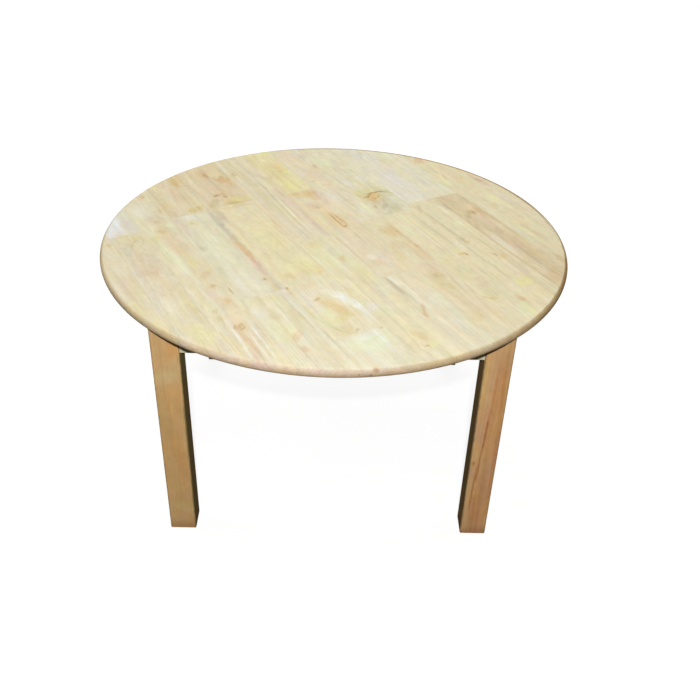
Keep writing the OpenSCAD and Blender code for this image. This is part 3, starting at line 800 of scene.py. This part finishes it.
    "m1": ("cream", "straw", dict(
        olive=[(1.0, 405, 156, 6, 12)], plum=[(1.0, 414, 90, 12, 28)], bark=[(0.4, 412, 100, 6, 10)],
        lilac=[(0.9, 410, 8, 9, 26)], red=[(0.6, 410, 118, 5, 12)]), {}, dict(flecks=0.25)),
}

# Specks on the rounded rim: strength, place across, along and above the floor, and half size
SPECKS = {
    "d1": ((1.0, -184, -411, 491, 4),),
    "e1": ((1.0, -163, -420, 491, 4), (0.7, -152, -421, 497, 5)),
}

stave_spin = Matrix.Rotation(math.radians(-STAVE_TURN), 3, "Z")
stave_grain = tuple(stave_spin.inverted() @ Vector((0, 1, 0)))


def stave_ends(node):
    """Lowest and highest corner of a stave in the grain frame, in millimetres."""
    corners = [stave_spin @ v.co * TO_MM for v in nodes[node].data.vertices]
    return [tuple(pick(v[k] for v in corners) for k in range(3)) for pick in (min, max)]


def cut_from_tree(number, middle):
    """Where in its tree a stave was cut: its pith, off to one side or the other, its tilt and its rings."""
    side = 1 if number % 2 else -1
    return dict(
        pith=(middle + side * (15.0 + 7.0 * (number % 5)), 0.0, TOP_UNDER - 30.0 - 17.0 * (number % 4)),
        tilt=(0.03 * side, 0.0, 0.02 + 0.01 * (number % 3)),
        ring_width=3.5 + 0.6 * (number % 4))


def all_of(make, kinds):
    """Marks or knots that are listed by their stain."""
    return [make(stain, *entry) for stain, entries in kinds.items() for entry in entries]


for number, (stave, (tone, second, marks, knots, figure)) in enumerate(STAVES.items()):
    node = "stave_" + stave
    low, high = stave_ends(node)
    paint(node, wood(
        node, tone, second, seed=number + SEEDS["stave"],
        turn=(0.0, 0.0, -math.radians(STAVE_TURN)), grain=stave_grain,
        marks=all_of(mark, marks) + [speck(*entry) for entry in SPECKS.get(stave, ())],
        knots=all_of(knot, knots), joint=(low, high),
        **cut_from_tree(number, (low[0] + high[0]) / 2), **figure))


# Legs, rails and corner blocks

UPRIGHT = (-math.pi / 2, 0.0, 0.0)
LEG_HALF = (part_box("leg_front_left")[1].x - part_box("leg_front_left")[0].x) / 2 * TO_MM
SIDE_DEPTH = 2.5
SIDE_REACH = 60.0


def shaded_side(side, z, half_l):
    """Painted shade over a leg's whole side, on its right with side 1 and on its left with -1."""
    return ("side_shade", 1.0, (side * LEG_HALF, z, 0.0), (SIDE_DEPTH, half_l, SIDE_REACH), 0.0)


def streak(stain, strength, x, z, half_w, half_l, lean=0.0, face=1):
    """Mark on a leg's front, or on its back with face -1, at x from its axis and z above the floor."""
    return (stain, strength, (x, z, face * LEG_HALF), (half_w, half_l, STREAK_DEPTH), lean)


# Each leg has its main and second tone, its marks as streak takes them, its knots, and what differs in its
# figure
LEGS = {
    "front_left": ("honey", "sand", dict(
        ginger=[(0.7, 15, 436, 12, 20), (0.35, 6, 330, 18, 30), (0.3, 12, 160, 10, 60)],
        green=[(1.0, -4, 378, 20, 16), (1.0, 8, 62, 20, 14)], tan=[(0.6, -8, 200, 20, 110)],
        lilac=[(0.9, -2, 372, 18, 12), (0.8, 10, 50, 12, 10)], moss=[(0.5, -14, 300, 9, 60)]),
        (), dict(streaks=0.08, lines=0.5, rings=0.06, swirl=0.5)),
    "front_right": ("russet", "honey", dict(
        cedar=[(0.45, 1, 350, 2, 60, 0.02), (1.0, -4, 262, 2, 44, 0.03), (1.0, -8, 190, 2, 40, 0.03),
            (0.8, -13, 120, 2, 60, 0.03), (0.5, 15, 380, 3, 70), (0.4, 20, 200, 4, 120)],
        moss=[(0.8, 2, 450, 26, 44)], brown=[(0.6, -6, 60, 5, 50)], lime=[(0.9, -19, 380, 5, 90)],
        ginger=[(0.5, 8, 300, 12, 120), (0.5, 4, 90, 16, 70)]),
        (("bark", 1.0, (-18.0, 190.0, LEG_HALF), (2.5, 5.0, 14.0)),),
        dict(streaks=0.16, rings=0.2, swirl=0.12)),
    "back_right": ("honey", "russet", dict(
        cedar=[(0.6, 6, 250, 4, 140, 0.0, -1)]), (), dict(streaks=0.2, rings=0.2, swirl=0.3)),
    "back_left": ("honey", "sand", dict(
        ginger=[(0.6, -4, 300, 9, 120, 0.0, -1)]), (), dict(streaks=0.16, rings=0.16, swirl=0.4)),
}

# Painted shade on the inner sides of the front legs: side, height of the middle and half length
SHADED_SIDES = {"front_left": (1, 240, 400), "front_right": (-1, 330, 330)}


def middle_of(node):
    low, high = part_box(node)
    return (low + high) / 2


for number, (corner, (tone, second, marks, knots, figure)) in enumerate(LEGS.items()):
    node = "leg_" + corner
    centre = middle_of(node)
    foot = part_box(node)[0].z * TO_MM
    marks = all_of(streak, marks)
    # The front legs' inner sides get painted shade
    if corner in SHADED_SIDES:
        marks.append(shaded_side(*SHADED_SIDES[corner]))
    paint(node, wood(
        node, tone, second, seed=number + SEEDS["leg"], marks=marks, knots=knots,
        turn=UPRIGHT, axis=(centre.x, centre.y, 0.0), grain=(0.0, 0.0, 1.0),
        pith=(35.0 + 9.0 * number, 0.0, -70.0), tilt=(0.02, 0.0, 0.015), ring_width=3.0,
        blotch=0.8, pores=0.5, ends=0.6, roughness=0.62, sheen=0.0, post=(LEG_HALF, foot), **figure))

for number, side in enumerate(("front", "right", "back", "left")):
    node = "rail_" + side
    lengthwise = side in ("front", "back")
    centre = middle_of(node)
    paint(node, wood(
        node, "pale", "straw", seed=number + SEEDS["rail"],
        turn=(0.0, 0.0, math.pi / 2 if lengthwise else 0.0),
        axis=(centre.x, centre.y, 0.0), grain=(1.0, 0.0, 0.0) if lengthwise else (0.0, 1.0, 0.0),
        pith=(40.0, 0.0, 400.0), ring_width=4.5, rings=0.14, streaks=0.16, roughness=0.6))

for number, corner in enumerate(LEGS):
    node = "corner_block_" + corner
    centre = middle_of(node)
    lean = math.atan2(centre.y, centre.x)
    paint(node, wood(
        node, "sand", "peach", seed=number + SEEDS["block"], turn=(0.0, 0.0, -lean),
        axis=(centre.x, centre.y, 0.0), grain=(-math.sin(lean), math.cos(lean), 0.0),
        pith=(30.0, 0.0, 380.0), ring_width=3.0, rings=0.3, streaks=0.25, pores=0.6, ends=0.7,
        roughness=0.7))


# Metal and plastic

def zinc():
    """Bright zinc plating with cloudy spangle, dull spots and fine scratches."""
    bright, cloudy, dull = (0.62, 0.64, 0.66, 1.0), (0.52, 0.53, 0.52, 1.0), (0.34, 0.33, 0.30, 1.0)
    material, tree, shader = new_material("zinc_steel")
    place = scaled(tree, add(tree, "TexCoord").outputs["Object"], TO_MM)
    cloud = ease(tree, noise(tree, place, (5.0, 5.0, 5.0), 3.0), 0.35, 0.65)
    spot = ease(tree, noise(tree, place, (0.9, 0.9, 0.9)), 0.58, 0.7)
    colour = mix(tree, times(tree, spot, 0.5), mix(tree, cloud, bright, cloudy), dull)
    feed(tree, shader["Base Color"], colour)
    shader["Metallic"].default_value = 1.0
    feed(tree, shader["Roughness"], calc(tree, "MULTIPLY_ADD", cloud, 0.16, 0.26))
    bumps(tree, shader, noise(tree, place, (0.25, 0.25, 0.25)), strength=0.2, distance=0.03)
    return material


def nylon():
    """Matt white nylon, scuffed grey where it slides."""
    clean, hazy, grey = (0.82, 0.82, 0.78, 1.0), (0.74, 0.73, 0.68, 1.0), (0.36, 0.33, 0.29, 1.0)
    material, tree, shader = new_material("nylon")
    place = scaled(tree, add(tree, "TexCoord").outputs["Object"], TO_MM)
    scuff = ease(tree, noise(tree, place, (0.8, 5.0, 2.0), 3.0, 0.6), 0.5, 0.68)
    sole = ease(tree, parts(tree, place)["Z"], 0.2, 1.6, 1.0, 0.25)
    haze = noise(tree, place, (6.0, 6.0, 6.0))
    patchy = times(tree, scuff, sole)
    colour = mix(tree, times(tree, patchy, 0.6), mix(tree, haze, clean, hazy), grey)
    feed(tree, shader["Base Color"], colour)
    feed(tree, shader["Roughness"], calc(tree, "MULTIPLY_ADD", patchy, 0.2, 0.48))
    bumps(tree, shader, scuff, strength=0.25, distance=0.05)
    return material


ZINC = zinc()
NYLON = nylon()
for node in ("hanger_bolts", "bolt_washers", "bolt_nuts", "block_screws", "top_screws", "glide_nails"):
    paint(node, ZINC)
for corner in LEGS:
    paint("glide_" + corner, NYLON)


# Floor, surroundings, lamps and camera

def camera_sees(tree):
    """1 on rays that show the background: from the camera, and in metal and glass."""
    path = add(tree, "LightPath").outputs
    either = calc(tree, "MAXIMUM", path["Is Camera Ray"], path["Is Glossy Ray"])
    return calc(tree, "MAXIMUM", either, path["Is Transmission Ray"])


def make_floor():
    """Pale floor that looks white and keeps a faint shadow round the table."""
    half_side = 30.0
    bm = bmesh.new()
    bmesh.ops.create_grid(bm, x_segments=1, y_segments=1, size=half_side)
    mesh = bpy.data.meshes.new("floor")
    bm.to_mesh(mesh)
    bm.free()
    floor = bpy.data.objects.new("floor", mesh)
    bpy.context.collection.objects.link(floor)
    material = bpy.data.materials.new("floor")
    tree = cleared(material)

    # The glow is weaker near the table, where the shadow lies
    away = vector(tree, "LENGTH", add(tree, "TexCoord").outputs["Object"])
    glow_strength = ease(tree, away, 0.6, 2.2, 0.90, 1.0)
    matt = add(tree, "BsdfDiffuse", {"Color": (0.06, 0.052, 0.038, 1.0)})
    shown = add(tree, "BsdfDiffuse", {"Color": (0.2, 0.2, 0.2, 1.0)})
    glow = add(tree, "Emission", {"Color": WHITE, "Strength": glow_strength})
    seen = add(tree, "AddShader", {0: shown.outputs[0], 1: glow.outputs[0]})
    either = add(tree, "MixShader", {0: camera_sees(tree), 1: matt.outputs[0], 2: seen.outputs[0]})
    surface(tree, "OutputMaterial", either)
    mesh.materials.append(material)


def make_world():
    """Dim white surroundings that look white to the camera."""
    world = bpy.data.worlds.new("studio")
    bpy.context.scene.world = world
    tree = cleared(world)
    colour = mix(tree, camera_sees(tree), (0.040, 0.034, 0.024, 1.0), WHITE)
    surface(tree, "OutputWorld", add(tree, "Background", {"Color": colour, "Strength": 1.0}))


def make_lamp(name, place, aim, size, power):
    """Round area lamp, in metres and watts."""
    data = bpy.data.lights.new(name, "AREA")
    data.shape = "DISK"
    data.size = size
    data.energy = power
    lamp = bpy.data.objects.new(name, data)
    lamp.location = place
    lamp.rotation_mode = "QUATERNION"
    lamp.rotation_quaternion = (Vector(aim) - Vector(place)).to_track_quat("-Z", "Y")
    bpy.context.collection.objects.link(lamp)


def make_lamps():
    """A small key just above the camera, and soft lamps over the back and to either side of the table."""
    make_lamp("key", (0.0, -1.75, 1.60), (0.0, -0.31, 0.45), size=0.04, power=27.55)
    make_lamp("over", (0.0, 1.1, 2.3), (0.0, 0.1, 0.4), size=1.2, power=24.2)
    make_lamp("left", (-2.2, 0.3, 2.4), (0.0, 0.0, 0.4), size=1.0, power=14.0)
    make_lamp("right", (2.2, 0.3, 2.4), (0.0, 0.0, 0.4), size=1.0, power=9.5)


def make_camera():
    data = bpy.data.cameras.new("camera")
    data.sensor_width = SENSOR
    data.lens = CAMERA_LENS
    camera = bpy.data.objects.new("camera", data)
    level = Euler((math.radians(90.0 - CAMERA_DOWN), 0.0, math.radians(-CAMERA_TURN))).to_matrix()
    rolled = level @ Matrix.Rotation(math.radians(CAMERA_ROLL), 3, "Z")
    camera.matrix_world = Matrix.Translation(CAMERA_PLACE) @ rolled.to_4x4()
    bpy.context.collection.objects.link(camera)
    bpy.context.scene.camera = camera


make_floor()
make_world()
make_lamps()
make_camera()
bpy.context.scene.view_settings.view_transform = "Standard"
